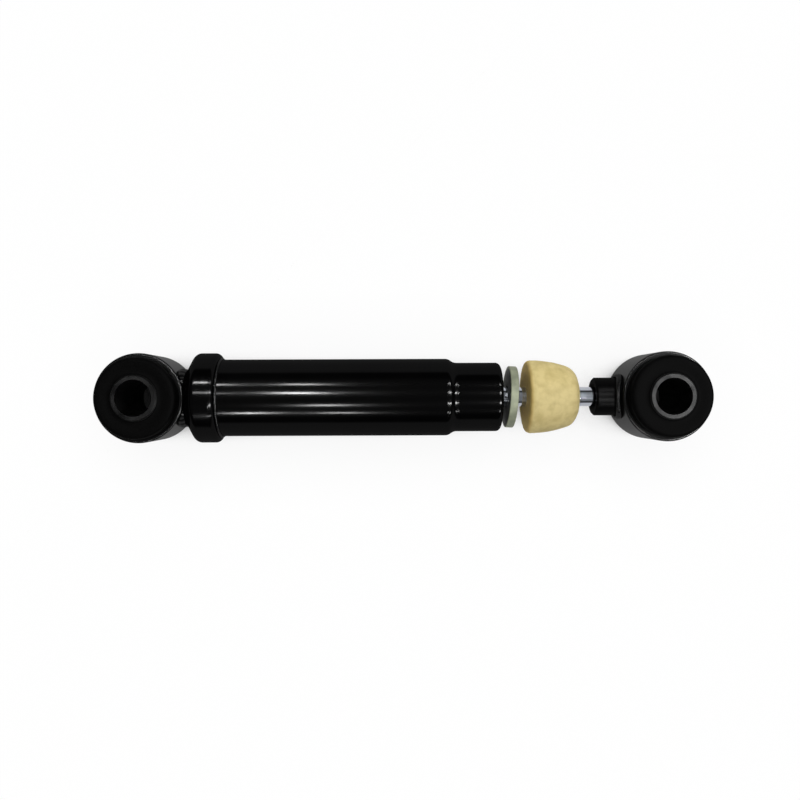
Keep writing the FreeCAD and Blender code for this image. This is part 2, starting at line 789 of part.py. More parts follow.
lip_tip_r = total(rod_r, "seal_fit")
lip_root_r = total(lip_tip_r, "seal_lip_height")
tongue_r = total(lip_root_r, "seal_tongue")
seal_cavity_r = less(neck_bore_r, "seal_rim")
seal_web = total(seal_start, "seal_cavity")
oil_lip = total(seal_start, "seal_lip_width")
dust_lip = less(seal_end, "seal_lip_width")
pieces.append(
    turned_on_axis(
        "rod_seal",
        [
            (seal_start, seal_cavity_r),
            (seal_start, neck_bore_r),
            (seal_end, neck_bore_r),
            (seal_end, lip_root_r),
            (dust_lip, lip_tip_r),
            (less(dust_lip, "seal_lip_width"), lip_tip_r),
            (less(dust_lip, "seal_lip_width", "seal_lip_width"), lip_root_r),
            (total(oil_lip, "seal_lip_width", "seal_lip_width"), lip_root_r),
            (total(oil_lip, "seal_lip_width"), lip_tip_r),
            (oil_lip, lip_tip_r),
            (seal_start, lip_root_r),
            (seal_start, tongue_r),
            (seal_web, tongue_r),
            (seal_web, seal_cavity_r),
        ],
    )
)
pieces.append(
    ring_on_axis(
        "seal_garter_spring",
        total(oil_lip, half("garter_wire")),
        total(tongue_r, half("garter_wire")),
        "garter_wire",
    )
)
closing_bore_r = total(rod_r, "closing_clearance")
pieces.append(
    turned_on_axis(
        "closing_disc",
        [
            (seal_end, closing_bore_r),
            (disc_end, closing_bore_r),
            (disc_end, less(neck_bore_r, "roll_inner"), size("roll_inner"), "left"),
            (less(disc_end, "roll_inner"), neck_bore_r),
            (seal_end, neck_bore_r),
        ],
    )
)

# Piston rod: ground and chromed, with a reduced end that carries the piston stack

groove_floor = less(rod_r, "rod_groove")
stop_middle = total(stop_start, half("stop_length"))
rib_start = less(stop_middle, half("rod_groove_width"))
rib_end = total(stop_middle, half("rod_groove_width"))
pieces.append(
    turned_on_axis(
        "piston_rod",
        [
            (rod_start, "0"),
            (rod_tip, "0"),
            (rod_tip, less(rod_r, "rod_chamfer")),
            (less(rod_tip, "rod_chamfer"), rod_r),
            (rib_end, rod_r),
            (rib_end, groove_floor),
            (rib_start, groove_floor),
            (rib_start, rod_r),
            (rod_shoulder, rod_r),
            (rod_shoulder, rod_spigot_r),
            (total(rod_start, "rod_chamfer"), rod_spigot_r),
            (rod_start, less(rod_spigot_r, "rod_chamfer")),
        ],
    )
)

# Piston stack on the rod's reduced end

piston_hub_r = total(rod_r, half("hub_wall"))
piston_inner_circle = total(piston_hub_r, "port_land", half("inner_port"))
piston_outer_circle = less(groove_r, "port_wall", half("outer_port"))
piston_disc_r = total(piston_inner_circle, half("inner_port"), "disc_lap")


def piston(label):
    body = turned_on_axis(
        label,
        [
            (piston_under, rod_spigot_r),
            (piston_top, rod_spigot_r),
            (piston_top, piston_r),
            (groove_end, piston_r),
            (groove_end, groove_r),
            (groove_start, groove_r),
            (groove_start, piston_r),
            (piston_under, piston_r),
        ],
    )
    between = f"({TURN} / {2 * PISTON_PORTS})"
    drill_ring(body, "piston_inner_ports", piston_top, "inner_port", piston_inner_circle, PISTON_PORTS)
    drill_ring(
        body, "piston_outer_ports", piston_top, "outer_port", piston_outer_circle, PISTON_PORTS, between
    )
    return body


def piston_band(label):
    """A split sealing band that floats in the piston's groove."""
    start = total(groove_start, "band_fit")
    end = less(groove_end, "band_fit")
    body = turned_on_axis(label, tube_corners(start, end, band_bore_r, band_r))
    past_edge = total(band_r, "band_thickness")
    inside = less(band_bore_r, "band_thickness")
    sketch = plane_sketch(body, label + "_split", "YZ_Plane", end)
    side = half("band_split")
    corners = [(inside, f"(-{side})"), (past_edge, f"(-{side})"), (past_edge, side), (inside, side)]
    draw_outline(sketch, corners)
    cut_away(body, sketch)
    return body


pieces.append(piston("piston"))
pieces.append(piston_band("piston_band"))
pieces.append(
    flanged_hub(
        "piston_stop_plate", piston_top, stop_plate_under, rod_shoulder, rod_spigot_r, piston_hub_r
    )
)
piston_plate_face = total(piston_top, "check_plate")
piston_plate_r = less(groove_r, "plate_clearance")
piston_plate_bore = less(piston_outer_circle, half("outer_port"), "disc_lap")
pieces.append(
    turned_on_axis(
        "piston_check_plate",
        tube_corners(piston_top, piston_plate_face, piston_plate_bore, piston_plate_r),
    )
)
pieces.append(
    check_spring("piston_check_spring", piston_plate_face, piston_hub_r, piston_outer_circle)
)
pieces.append(
    disc_stack("piston_discs", piston_under, -1, rod_spigot_r, piston_disc_r, PISTON_DISCS)
)
pieces.append(
    turned_on_axis(
        "piston_support_washer",
        tube_corners(
            support_under, piston_disc_end, rod_spigot_r, total(rod_spigot_r, "support_lip")
        ),
    )
)


def piston_nut(label):
    body = new_body(label)
    sketch = plane_sketch(body, label + "_hexagon", "YZ_Plane", nut_under)
    corner_r = f"({half('nut_width')} / cos(30))"
    angles = [30, 90, 150, 210, 270, 330]
    corners = [
        ("0" if angle in (90, 270) else f"({corner_r} * cos({angle}))", f"({corner_r} * sin({angle}))")
        for angle in angles
    ]
    draw_outline(sketch, corners)
    draw_circle(sketch, rod_spigot_r)
    pad = body.newObject("PartDesign::Pad", label + "_block")
    pad.Profile = sketch
    pad.setExpression("Length", size("nut_height"))
    doc.recompute()
    return body


pieces.append(piston_nut("piston_nut"))

# Rebound stop, rolled into the rod's groove, and the cushion that meets the guide

stop_r = total(rod_r, "stop_wall")
pieces.append(
    turned_on_axis(
        "rebound_stop",
        [
            (stop_start, rod_r),
            (rib_start, rod_r),
            (rib_start, groove_floor),
            (rib_end, groove_floor),
            (rib_end, rod_r),
            (cushion_start, rod_r),
            (cushion_start, stop_r),
            (stop_start, stop_r),
        ],
    )
)
pieces.append(
    turned_on_axis(
        "rebound_cushion",
        tube_corners(cushion_start, cushion_end, rod_r, total(rod_r, "cushion_wall")),
    )
)

# Stop washer: loose on the rod, so it hangs from the top of its hole and leans a little


def stop_washer(label):
    washer_r = half("washer_diameter")
    bore_r = total(rod_r, "washer_fit")
    face = half("washer_thickness")
    edge = size("washer_edge")
    body = turned_on_axis(
        label,
        [
            (f"(-{face})", bore_r),
            (face, bore_r),
            (face, less(washer_r, "washer_edge"), edge, "left"),
            (less(face, "washer_edge"), washer_r),
            (f"(dims.washer_edge - {face})", washer_r, edge, "left"),
            (f"(-{face})", less(washer_r, "washer_edge")),
        ],
    )
    body.Placement.Rotation = FreeCAD.Rotation(FreeCAD.Vector(0, 0, -1), value(size("washer_tilt")))
    body.setExpression("Placement.Rotation.Angle", size("washer_tilt"))
    body.setExpression("Placement.Base.x", total(washer_start, face))
    body.setExpression("Placement.Base.z", "dims.washer_rest - dims.washer_fit")
    return body


pieces.append(stop_washer("stop_washer"))

# Bump stop: a moulded foam spring, widest beside the washer and domed towards the rod eye

bump_r = half("bump_diameter")
bump_bore_r = total(rod_r, "bump_fit")
bump_crest = total(bump_start, "bump_heel")
nose_start = less(bump_end, "bump_nose_length")
flank_run = f"({nose_start} - {bump_crest})"
nose_r = f"({bump_r} - dims.bump_flank + sqrt(dims.bump_flank ^ 2 - {flank_run} ^ 2))"
pieces.append(
    turned_on_axis(
        "bump_stop",
        [
            (bump_start, bump_bore_r),
            (bump_end, bump_bore_r),
            (bump_end, total(rod_r, "bump_nose_face"), size("bump_nose"), "left"),
            (nose_start, nose_r, size("bump_flank"), "left"),
            (bump_crest, bump_r, size("bump_heel"), "left"),
            (bump_start, less(bump_r, "bump_heel")),
        ],
    )
)

# Rod eye's stem: bored for the rod, saddled to the ring and welded round it


def saddle_cut(body, name):
    """Cuts away what lies inside the rod eye's ring."""
    sketch = plane_sketch(body, name, "XY_Plane")
    draw_circle(sketch, ring_r, rod_eye)
    cut_away(body, sketch, both_ways=True)


def rod_eye_stem(label):
    far_end = f"({rod_eye} - sqrt({ring_r} ^ 2 - {stem_r} ^ 2) + dims.stem_chamfer)"
    body = turned_on_axis(
        label,
        [
            (stem_start, total(rod_r, "stem_mouth")),
            (total(stem_start, "stem_mouth"), rod_r),
            (less(rod_tip, "rod_chamfer"), rod_r),
            (rod_tip, less(rod_r, "rod_chamfer")),
            (rod_tip, "0"),
            (far_end, "0"),
            (far_end, stem_r),
            (total(stem_start, "stem_chamfer"), stem_r),
            (stem_start, less(stem_r, "stem_chamfer")),
        ],
    )
    saddle_cut(body, "stem_saddle")
    return body


def rod_eye_weld(label):
    weld_r = total(stem_r, "stem_weld_rise")
    ring_face = less(rod_eye, ring_r)
    weld_end = f"({rod_eye} - sqrt({ring_r} ^ 2 - {weld_r} ^ 2) + dims.stem_chamfer)"
    body = turned_on_axis(
        label,
        [
            (less(ring_face, "stem_weld_run"), stem_r),
            (weld_end, stem_r),
            (weld_end, weld_r),
            (ring_face, weld_r, size("stem_weld_crown"), "left"),
        ],
    )
    saddle_cut(body, "weld_saddle")
    return body


pieces.append(rod_eye_stem("rod_eye_stem"))
pieces.append(rod_eye_weld("rod_eye_weld"))

# Every piece is checked before any is written

doc.recompute()
for thing in doc.Objects:
    if "Invalid" in thing.State or "Error" in thing.State:
        raise SystemExit(f"{thing.Name} failed: {thing.State}")
for piece in pieces:
    if piece.Shape.isNull() or not piece.Shape.isValid() or not piece.Shape.Solids:
        raise SystemExit(f"{piece.Label} has no sound solid")

os.makedirs("parts", exist_ok=True)
for piece in pieces:
    piece.Shape.exportStep(f"parts/{piece.Label}.step")
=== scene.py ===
import math
import random

import bpy
from mathutils import Euler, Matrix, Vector


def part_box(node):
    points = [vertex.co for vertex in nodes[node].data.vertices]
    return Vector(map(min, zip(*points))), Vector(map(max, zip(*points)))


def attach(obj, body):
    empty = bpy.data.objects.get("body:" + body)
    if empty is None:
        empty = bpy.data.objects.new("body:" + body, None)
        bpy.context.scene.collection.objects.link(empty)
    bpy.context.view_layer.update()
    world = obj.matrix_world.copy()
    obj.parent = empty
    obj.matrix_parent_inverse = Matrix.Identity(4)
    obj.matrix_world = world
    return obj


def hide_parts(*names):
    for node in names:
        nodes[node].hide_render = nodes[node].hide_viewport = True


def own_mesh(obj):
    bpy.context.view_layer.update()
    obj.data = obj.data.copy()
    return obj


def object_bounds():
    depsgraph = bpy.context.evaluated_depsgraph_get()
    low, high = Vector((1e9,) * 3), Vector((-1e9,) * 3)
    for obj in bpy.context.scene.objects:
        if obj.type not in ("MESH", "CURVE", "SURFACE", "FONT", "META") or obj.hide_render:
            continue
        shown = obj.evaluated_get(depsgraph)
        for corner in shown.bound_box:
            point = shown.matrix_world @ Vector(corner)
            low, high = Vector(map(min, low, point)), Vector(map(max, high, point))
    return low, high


# Cab shock absorber: the looks of a twin-tube oil damper with a rubber-bushed eye at each end.
# Metres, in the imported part's frame: the damper's axis is X and both bolt bores run along Z.
# The sections follow the damper as it is put together, and the studio comes last.

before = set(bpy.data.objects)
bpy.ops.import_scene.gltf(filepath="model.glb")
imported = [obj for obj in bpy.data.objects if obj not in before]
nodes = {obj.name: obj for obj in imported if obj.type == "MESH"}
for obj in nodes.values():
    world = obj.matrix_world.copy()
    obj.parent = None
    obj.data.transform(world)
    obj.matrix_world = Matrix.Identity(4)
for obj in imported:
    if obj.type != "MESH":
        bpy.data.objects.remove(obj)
cad_low, cad_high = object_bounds()

# Outer tube and base cap: a drawn steel tube, swaged and rolled in at its rod end, stands in a
# pressed cap. Both are sprayed with black gloss enamel, which dries with a faint orange peel.

ENAMEL_DARK = (0.0004, 0.0004, 0.0005, 1)
ENAMEL_LIGHT = (0.0011, 0.0011, 0.0012, 1)
ENAMEL_ROUGH = (0.34, 0.46)
ENAMEL_GLOSS = 0.034
ENAMEL_IOR = 2.2
ENAMEL_BLUR = 0.13
ORANGE_PEEL = 0.0016
ORANGE_PEEL_HEIGHT = 0.000004
SPRAY_CLOUD = 0.03
CLOUD_SPAN = (0.3, 0.7)


def new_finish(name):
    """A material, its nodes, its shader and the piece's own coordinates to lay patterns on."""
    finish = bpy.data.materials.new(name)
    finish.use_nodes = True
    tree = finish.node_tree
    shader = tree.nodes["Principled BSDF"]
    place = tree.nodes.new("ShaderNodeTexCoord").outputs["Object"]
    return finish, tree, shader, place


def clouds(tree, place, width, detail=2.0, stretch=(1, 1, 1)):
    """A cloudy pattern with blotches about width metres across, drawn out by stretch."""
    mapping = tree.nodes.new("ShaderNodeMapping")
    mapping.inputs["Scale"].default_value = [1 / (width * amount) for amount in stretch]
    pattern = tree.nodes.new("ShaderNodeTexNoise")
    pattern.inputs["Scale"].default_value = 1
    pattern.inputs["Detail"].default_value = detail
    tree.links.new(place, mapping.inputs["Vector"])
    tree.links.new(mapping.outputs["Vector"], pattern.inputs["Vector"])
    return pattern.outputs["Fac"]


def vary(tree, pattern, socket, span, between=CLOUD_SPAN):
    """Lets a pattern move a value over its span, while the pattern runs between two levels."""
    scale = tree.nodes.new("ShaderNodeMapRange")
    scale.inputs["From Min"].default_value, scale.inputs["From Max"].default_value = between
    scale.inputs["To Min"].default_value, scale.inputs["To Max"].default_value = span
    tree.links.new(pattern, scale.inputs["Value"])
    tree.links.new(scale.outputs["Result"], socket)


def tint(tree, pattern, socket, dark, light, between=CLOUD_SPAN):
    """Lets a pattern move a colour between two tones, while it runs between two levels."""
    ramp = tree.nodes.new("ShaderNodeValToRGB")
    first, last = ramp.color_ramp.elements
    first.position, last.position = between
    first.color = dark
    last.color = light
    tree.links.new(pattern, ramp.inputs["Fac"])
    tree.links.new(ramp.outputs["Color"], socket)


def emboss(tree, pattern, height, under=None):
    """Raises a pattern as relief of that height in metres, on top of the relief under it."""
    bump = tree.nodes.new("ShaderNodeBump")
    bump.inputs["Strength"].default_value = 1
    bump.inputs["Distance"].default_value = height
    tree.links.new(pattern, bump.inputs["Height"])
    if under:
        tree.links.new(under, bump.inputs["Normal"])
    return bump.outputs["Normal"]


def black_enamel(name, gloss, blur, ior):
    """Sprayed black paint: a dark body under a clear gloss, a little cloudy where it dried."""
    finish, tree, shader, place = new_finish(name)
    spray = clouds(tree, place, SPRAY_CLOUD, detail=4)
    tint(tree, spray, shader.inputs["Base Color"], ENAMEL_DARK, ENAMEL_LIGHT)
    vary(tree, spray, shader.inputs["Roughness"], ENAMEL_ROUGH)
    peel = emboss(tree, clouds(tree, place, ORANGE_PEEL, detail=1), ORANGE_PEEL_HEIGHT)
    tree.links.new(peel, shader.inputs["Normal"])
    tree.links.new(peel, shader.inputs["Coat Normal"])
    shader.inputs["Specular IOR Level"].default_value = 0
    shader.inputs["Coat Weight"].default_value = gloss
    shader.inputs["Coat Roughness"].default_value = blur
    shader.inputs["Coat IOR"].default_value = ior
    return finish


def dress(finish, *names):
    """Gives CAD nodes their finish."""
    for name in names:
        for holder in nodes[name].material_slots:
            holder.material = finish


tube_enamel = black_enamel("tube_enamel", ENAMEL_GLOSS, ENAMEL_BLUR, ENAMEL_IOR)
dress(tube_enamel, "reservoir_tube", "base_cap")

# Eyes' rings and the rod eye's stem: cut from thick tube and bar, welded on and then sprayed black.
# Their enamel is less sharp than the tube's, and the stem's is the dullest.

EYE_GLOSS = 0.24
EYE_BLUR = 0.22
EYE_IOR = 1.5
STEM_GLOSS = 0.045
STEM_BLUR = 0.32

eye_enamel = black_enamel("eye_enamel", EYE_GLOSS, EYE_BLUR, EYE_IOR)
dress(eye_enamel, "body_eye_ring", "rod_eye_ring")
stem_enamel = black_enamel("stem_enamel", STEM_GLOSS, STEM_BLUR, EYE_IOR)
dress(stem_enamel, "rod_eye_stem")

body_eye = Vector((0, 0, 0))
ring_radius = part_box("body_eye_ring")[1].y
rod_eye = Vector((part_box("rod_eye_ring")[1].x - ring_radius, 0, 0))

# Welds: one runs round the tube at the cap's lip, two fill the wedges between the body eye and
# the cap, and one runs round the rod eye's stem. Each is a row of overlapping drops that froze
# one on another, painted with the steel that it joins.

DROP_SEGMENTS = 18
DROP_RINGS = 12
DROP_LEAN = math.radians(28)
DROP_SPREAD = 0.06
WELD_SKIN = 0.00022
WELD_SMOOTHING = 2
WELD_SEED = 11
WELD_BLUR = 0.2

weld_enamel = black_enamel("weld_enamel", EYE_GLOSS, WELD_BLUR, EYE_IOR)
weld_hand = random.Random(WELD_SEED)


def pick(*pieces):
    """Selects these pieces and nothing else, and makes the first of them active."""
    bpy.ops.object.select_all(action="DESELECT")
    for piece in pieces:
        piece.select_set(True)
    bpy.context.view_layer.objects.active = pieces[0]


def finish_with(piece, kind, **settings):
    """Adds a modifier to a piece and applies it."""
    pick(piece)
    bpy.ops.object.modifier_add(type=kind)
    modifier = piece.modifiers[-1]
    for setting, amount in settings.items():
        setattr(modifier, setting, amount)
    bpy.ops.object.modifier_apply(modifier=modifier.name)


def belongs(piece, body, replaced, finish):
    """Paints a piece, hangs it on the body that carries it and hides the CAD node it stands for."""
    piece.data.materials.clear()
    piece.data.materials.append(finish)
    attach(piece, body)
    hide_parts(replaced)


def weld_drop(half_sizes):
    """One drop: a ball flattened to its half sizes, across the seam, out of it and along it."""
    bpy.ops.object.select_all(action="DESELECT")
    bpy.ops.mesh.primitive_uv_sphere_add(segments=DROP_SEGMENTS, ring_count=DROP_RINGS, radius=1)
    drop = bpy.context.object
    bpy.ops.object.mode_set(mode="EDIT")
    bpy.ops.mesh.select_all(action="SELECT")
    bpy.ops.transform.resize(value=half_sizes, center_override=(0, 0, 0))
    bpy.ops.transform.rotate(value=DROP_LEAN, orient_axis="X", center_override=(0, 0, 0))
    bpy.ops.object.mode_set(mode="OBJECT")
    return drop


def lay_bead(name, body, replaced, *rows):
    """A weld: each row is (half sizes of its drops, [(centre, turn), ...]). The drops are copied
    along the seams, joined and fused into one skin."""
    seams = [(weld_drop(half_sizes), places) for half_sizes, places in rows]
    copies = []
    for drop, places in seams:
        for centre, turn in places:
            pick(drop)
            bpy.ops.object.duplicate(linked=False)
            copy = bpy.context.object
            copy.location = centre
            copy.rotation_euler = turn
            copy.scale = [weld_hand.uniform(1 - DROP_SPREAD, 1 + DROP_SPREAD) for axis in range(3)]
            copies.append(copy)
        bpy.data.objects.remove(drop)
    pick(*copies)
    bpy.ops.object.join()
    bpy.ops.object.transform_apply(location=True, rotation=True, scale=True)
    bead = bpy.context.object
    bead.name = name
    finish_with(bead, "REMESH", mode="VOXEL", voxel_size=WELD_SKIN)
    finish_with(bead, "SMOOTH", iterations=WELD_SMOOTHING)
    bpy.ops.object.shade_smooth()
    belongs(bead, body, replaced, weld_enamel)


def round_seam(radius, pitch, along_at):
    """Places for drops round the damper's axis. along_at gives how far along it each one lies,
    from how far it stands aside."""
    count = round(2 * math.pi * radius / pitch)
    places = []
    for number in range(count):
        around = 2 * math.pi * number / count
        across = radius * math.cos(around)
        up = radius * math.sin(around)
        places.append((Vector((along_at(across), across, up)), Euler((around - math.pi / 2, 0, 0))))
    return places


CAP_BEAD_PITCH = 0.0011
CAP_BEAD_RISE = 0.0001
CAP_BEAD_STEP = 0.0003
CAP_DROP = (0.001, 0.0007, 0.0009)

tube_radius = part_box("reservoir_tube")[1].y
cap_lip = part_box("base_cap")[1].x


def cap_seam(across):
    """The cap's flat lip, which is as far along all round."""
    return cap_lip + CAP_BEAD_STEP


cap_places = round_seam(tube_radius + CAP_BEAD_RISE, CAP_BEAD_PITCH, cap_seam)
lay_bead("cap_weld_bead", "barrel", "cap_weld", (CAP_DROP, cap_places))

EYE_BEAD_HALF = 0.0125
EYE_BEAD_PITCH = 0.0019
EYE_BEAD_WRAP = 0.0152
EYE_BEAD_OUTER = (0.0219, 0.0134)
EYE_BEAD_INNER = (0.0231, 0.0092)
EYE_DROP_OUTER = (0.0033, 0.0034, 0.0022)
EYE_DROP_INNER = (0.0021, 0.0028, 0.0022)


def eye_seams(along, offset):
    """Places for drops down both sides of the body eye, no further out than the cap's round end."""
    places = []
    for side, turn in ((1, 0), (-1, math.pi)):
        for number in range(round(2 * EYE_BEAD_HALF / EYE_BEAD_PITCH) + 1):
            up = number * EYE_BEAD_PITCH - EYE_BEAD_HALF
            across = min(offset, math.sqrt(EYE_BEAD_WRAP**2 - up**2))
            places.append((Vector((along, side * across, up)), Euler((0, 0, turn))))
    return places


lay_bead(
    "body_eye_weld_beads",
    "barrel",
    "body_eye_weld",
    (EYE_DROP_OUTER, eye_seams(*EYE_BEAD_OUTER)),
    (EYE_DROP_INNER, eye_seams(*EYE_BEAD_INNER)),
)

STEM_BEAD_PITCH = 0.0017
STEM_BEAD_RISE = 0.0009
STEM_BEAD_STEP = 0.0009
STEM_DROP = (0.002, 0.0017, 0.0013)

stem_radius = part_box("rod_eye_stem")[1].y


def stem_seam(across):
    """Where the stem runs into the rod eye's round ring."""
    return rod_eye.x - math.sqrt(ring_radius**2 - across**2) - STEM_BEAD_STEP


stem_places = round_seam(stem_radius + STEM_BEAD_RISE, STEM_BEAD_PITCH, stem_seam)
lay_bead("rod_eye_weld_bead", "rod", "rod_eye_weld", (STEM_DROP, stem_places))

# Pressure tube and foot valve: a plain drawn tube stands on the foot valve in the base cap. The
# valve is a sintered body with a spring plate above, spring discs below and a stud through all.

STEEL_DARK = (0.3, 0.3, 0.31, 1)
STEEL_LIGHT = (0.46, 0.46, 0.47, 1)
STEEL_ROUGH = (0.26, 0.4)
STEEL_GRAIN = 0.0006
STEEL_RELIEF = 0.000004
STEEL_STRETCH = (1, 20, 20)
SPRING_DARK = (0.2, 0.21, 0.23, 1)
SPRING_LIGHT = (0.34, 0.35, 0.37, 1)
SPRING_ROUGH = (0.22, 0.36)
SPRING_GRAIN = 0.0008
SPRING_RELIEF = 0.000003
SINTER_DARK = (0.1, 0.1, 0.1, 1)
SINTER_LIGHT = (0.2, 0.195, 0.19, 1)
SINTER_ROUGH = (0.49, 0.63)
SINTER_GRAIN = 0.0003
SINTER_RELIEF = 0.00002
SPRING_MERGE = 0.000001
SPRING_CREASE = math.radians(30)


def bare_metal(name, dark, light, rough, grain, relief, stretch=(1, 1, 1)):
    """Unpainted metal: tool marks or grains of that width, drawn out by stretch, in tone,
    in gloss and as relief."""
    finish, tree, shader, place = new_finish(name)
    shader.inputs["Metallic"].default_value = 1
    marks = clouds(tree, place, grain, detail=5, stretch=stretch)
    tint(tree, marks, shader.inputs["Base Color"], dark, light)
    vary(tree, marks, shader.inputs["Roughness"], rough)
    tree.links.new(emboss(tree, marks, relief), shader.inputs["Normal"])
    return finish


plain_steel = bare_metal(
    "plain_steel", STEEL_DARK, STEEL_LIGHT, STEEL_ROUGH, STEEL_GRAIN, STEEL_RELIEF, STEEL_STRETCH
)
spring_steel = bare_metal(
    "spring_steel", SPRING_DARK, SPRING_LIGHT, SPRING_ROUGH, SPRING_GRAIN, SPRING_RELIEF
)
sintered_iron = bare_metal(
    "sintered_iron", SINTER_DARK, SINTER_LIGHT, SINTER_ROUGH, SINTER_GRAIN, SINTER_RELIEF
)
dress(plain_steel, "pressure_tube", "foot_valve_stud", "foot_valve_nut")
dress(spring_steel, "foot_valve_discs", "foot_check_plate")
dress(sintered_iron, "foot_valve_body")


def check_spring(name, body, node):
    """A coned spring over a check plate: a copy of its CAD node, merged, shaded smooth and
    painted, and carried by its body."""
    spring = bpy.data.objects.new(name, nodes[node].data.copy())
    bpy.context.collection.objects.link(spring)
    pick(spring)
    bpy.ops.object.mode_set(mode="EDIT")
    bpy.ops.mesh.select_all(action="SELECT")
    bpy.ops.mesh.remove_doubles(threshold=SPRING_MERGE)
    bpy.ops.object.mode_set(mode="OBJECT")
    bpy.ops.object.shade_smooth_by_angle(angle=SPRING_CREASE)
    belongs(spring, body, node, spring_steel)
    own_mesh(spring)


check_spring("foot_check_cone", "barrel", "foot_check_spring")

# Piston: a sintered piston with a plastic slide band, a spring plate above, spring discs below
# and a nut on the rod's threaded end.

BAND_DARK = (0.02, 0.021, 0.02, 1)
BAND_LIGHT = (0.045, 0.046, 0.042, 1)
BAND_ROUGH = (0.37, 0.53)
BAND_MOTTLE = 0.0012
BAND_RELIEF = 0.000006


def dull(name, dark, light, rough, grain, relief, shine=0.5):
    """A dull moulded material: a mottled tone, uneven gloss and a fine relief."""
    finish, tree, shader, place = new_finish(name)
    shader.inputs["Specular IOR Level"].default_value = shine
    mottle = clouds(tree, place, grain, detail=4)
    tint(tree, mottle, shader.inputs["Base Color"], dark, light)
    vary(tree, mottle, shader.inputs["Roughness"], rough)
    tree.links.new(emboss(tree, mottle, relief), shader.inputs["Normal"])
    return finish


band_plastic = dull("band_plastic", BAND_DARK, BAND_LIGHT, BAND_ROUGH, BAND_MOTTLE, BAND_RELIEF)
dress(sintered_iron, "piston")
dress(band_plastic, "piston_band", "rebound_cushion")
dress(spring_steel, "piston_discs", "piston_check_plate")
dress(plain_steel, "piston_stop_plate", "piston_support_washer", "piston_nut", "rebound_stop")
check_spring("piston_check_cone", "rod", "piston_check_spring")

# Rod guide and seal: a sintered guide with a bronze bush closes the tubes. A rubber lip seal with
# its garter spring and an O-ring lie on it, under a steel disc that the rolled rim holds down.

BRONZE_DARK = (0.34, 0.2, 0.08, 1)
BRONZE_LIGHT = (0.52, 0.33, 0.15, 1)
BRONZE_ROUGH = (0.29, 0.43)
BRONZE_GRAIN = 0.0005
BRONZE_RELIEF = 0.000004
SEAL_DARK = (0.006, 0.006, 0.006, 1)
SEAL_LIGHT = (0.014, 0.014, 0.014, 1)
SEAL_ROUGH = (0.42, 0.58)
SEAL_GRAIN = 0.0009
SEAL_RELIEF = 0.000006

bearing_bronze = bare_metal(
    "bearing_bronze", BRONZE_DARK, BRONZE_LIGHT, BRONZE_ROUGH, BRONZE_GRAIN, BRONZE_RELIEF
)
seal_rubber = dull("seal_rubber", SEAL_DARK, SEAL_LIGHT, SEAL_ROUGH, SEAL_GRAIN, SEAL_RELIEF)
dress(sintered_iron, "rod_guide")
dress(bearing_bronze, "guide_bush")
dress(seal_rubber, "rod_seal", "guide_o_ring")
dress(spring_steel, "seal_garter_spring")
dress(plain_steel, "closing_disc")

# Piston rod: hard chrome on ground steel. Grinding leaves hair lines round the rod, and the oil
# film leaves a faint haze along it.

CHROME_DARK = (0.34, 0.36, 0.4, 1)
CHROME_LIGHT = (0.42, 0.44, 0.48, 1)
CHROME_ROUGH = (0.035, 0.06)
GRIND_LINE = 0.0001
GRIND_STRETCH = (1, 60, 60)
GRIND_DEPTH = 0.0000002
OIL_HAZE = 0.004
OIL_HAZE_STRETCH = (3, 1, 1)


def rod_chrome():
    """Chrome with the oil's haze in tone and gloss, and the grinding lines as relief."""
    finish, tree, shader, place = new_finish("rod_chrome")
    shader.inputs["Metallic"].default_value = 1
    haze = clouds(tree, place, OIL_HAZE, detail=3, stretch=OIL_HAZE_STRETCH)
    tint(tree, haze, shader.inputs["Base Color"], CHROME_DARK, CHROME_LIGHT)
    vary(tree, haze, shader.inputs["Roughness"], CHROME_ROUGH)
    grinding = clouds(tree, place, GRIND_LINE, detail=1, stretch=GRIND_STRETCH)
    tree.links.new(emboss(tree, grinding, GRIND_DEPTH), shader.inputs["Normal"])
    return finish


dress(rod_chrome(), "piston_rod")

# Stop washer: a stamped steel washer in olive zinc that hangs loose on the rod and leans. The
# bath leaves its coat cloudy, and both its faces are painted dark as painted shade, out to the rim.

ZINC_DARK = (0.17, 0.185, 0.13, 1)
ZINC_LIGHT = (0.26, 0.28, 0.195, 1)
ZINC_METAL = 0.1
ZINC_SHINE = 0.1
ZINC_ROUGH = (0.45, 0.62)
ZINC_CLOUD = 0.005
# Painted shade: both faces are painted dark out to near the rim.
FACE_SHADE_DARK = (0.004, 0.0045, 0.003, 1)
FACE_SHADE_LIGHT = (0.014, 0.015, 0.011, 1)
FACE_SHADE_REACH = 0.0158
FACE_SHADE_FADE = 0.0008
OFF_AXIS = (0, 1, 1)
STAMP_GRAIN = 0.0005
STAMP_STRETCH = (6, 1, 1)
STAMP_DEPTH = 0.00001


def colour_blend(tree):
    """A blend of two colours: its share, the colour at 0, the colour at 1 and what comes out."""
    blend = tree.nodes.new("ShaderNodeMix")
    blend.data_type = "RGBA"
    at_none, at_full = (socket for socket in blend.inputs if socket.type == "RGBA")
    outcome = next(socket for socket in blend.outputs if socket.type == "RGBA")
    return blend.inputs["Factor"], at_none, at_full, outcome


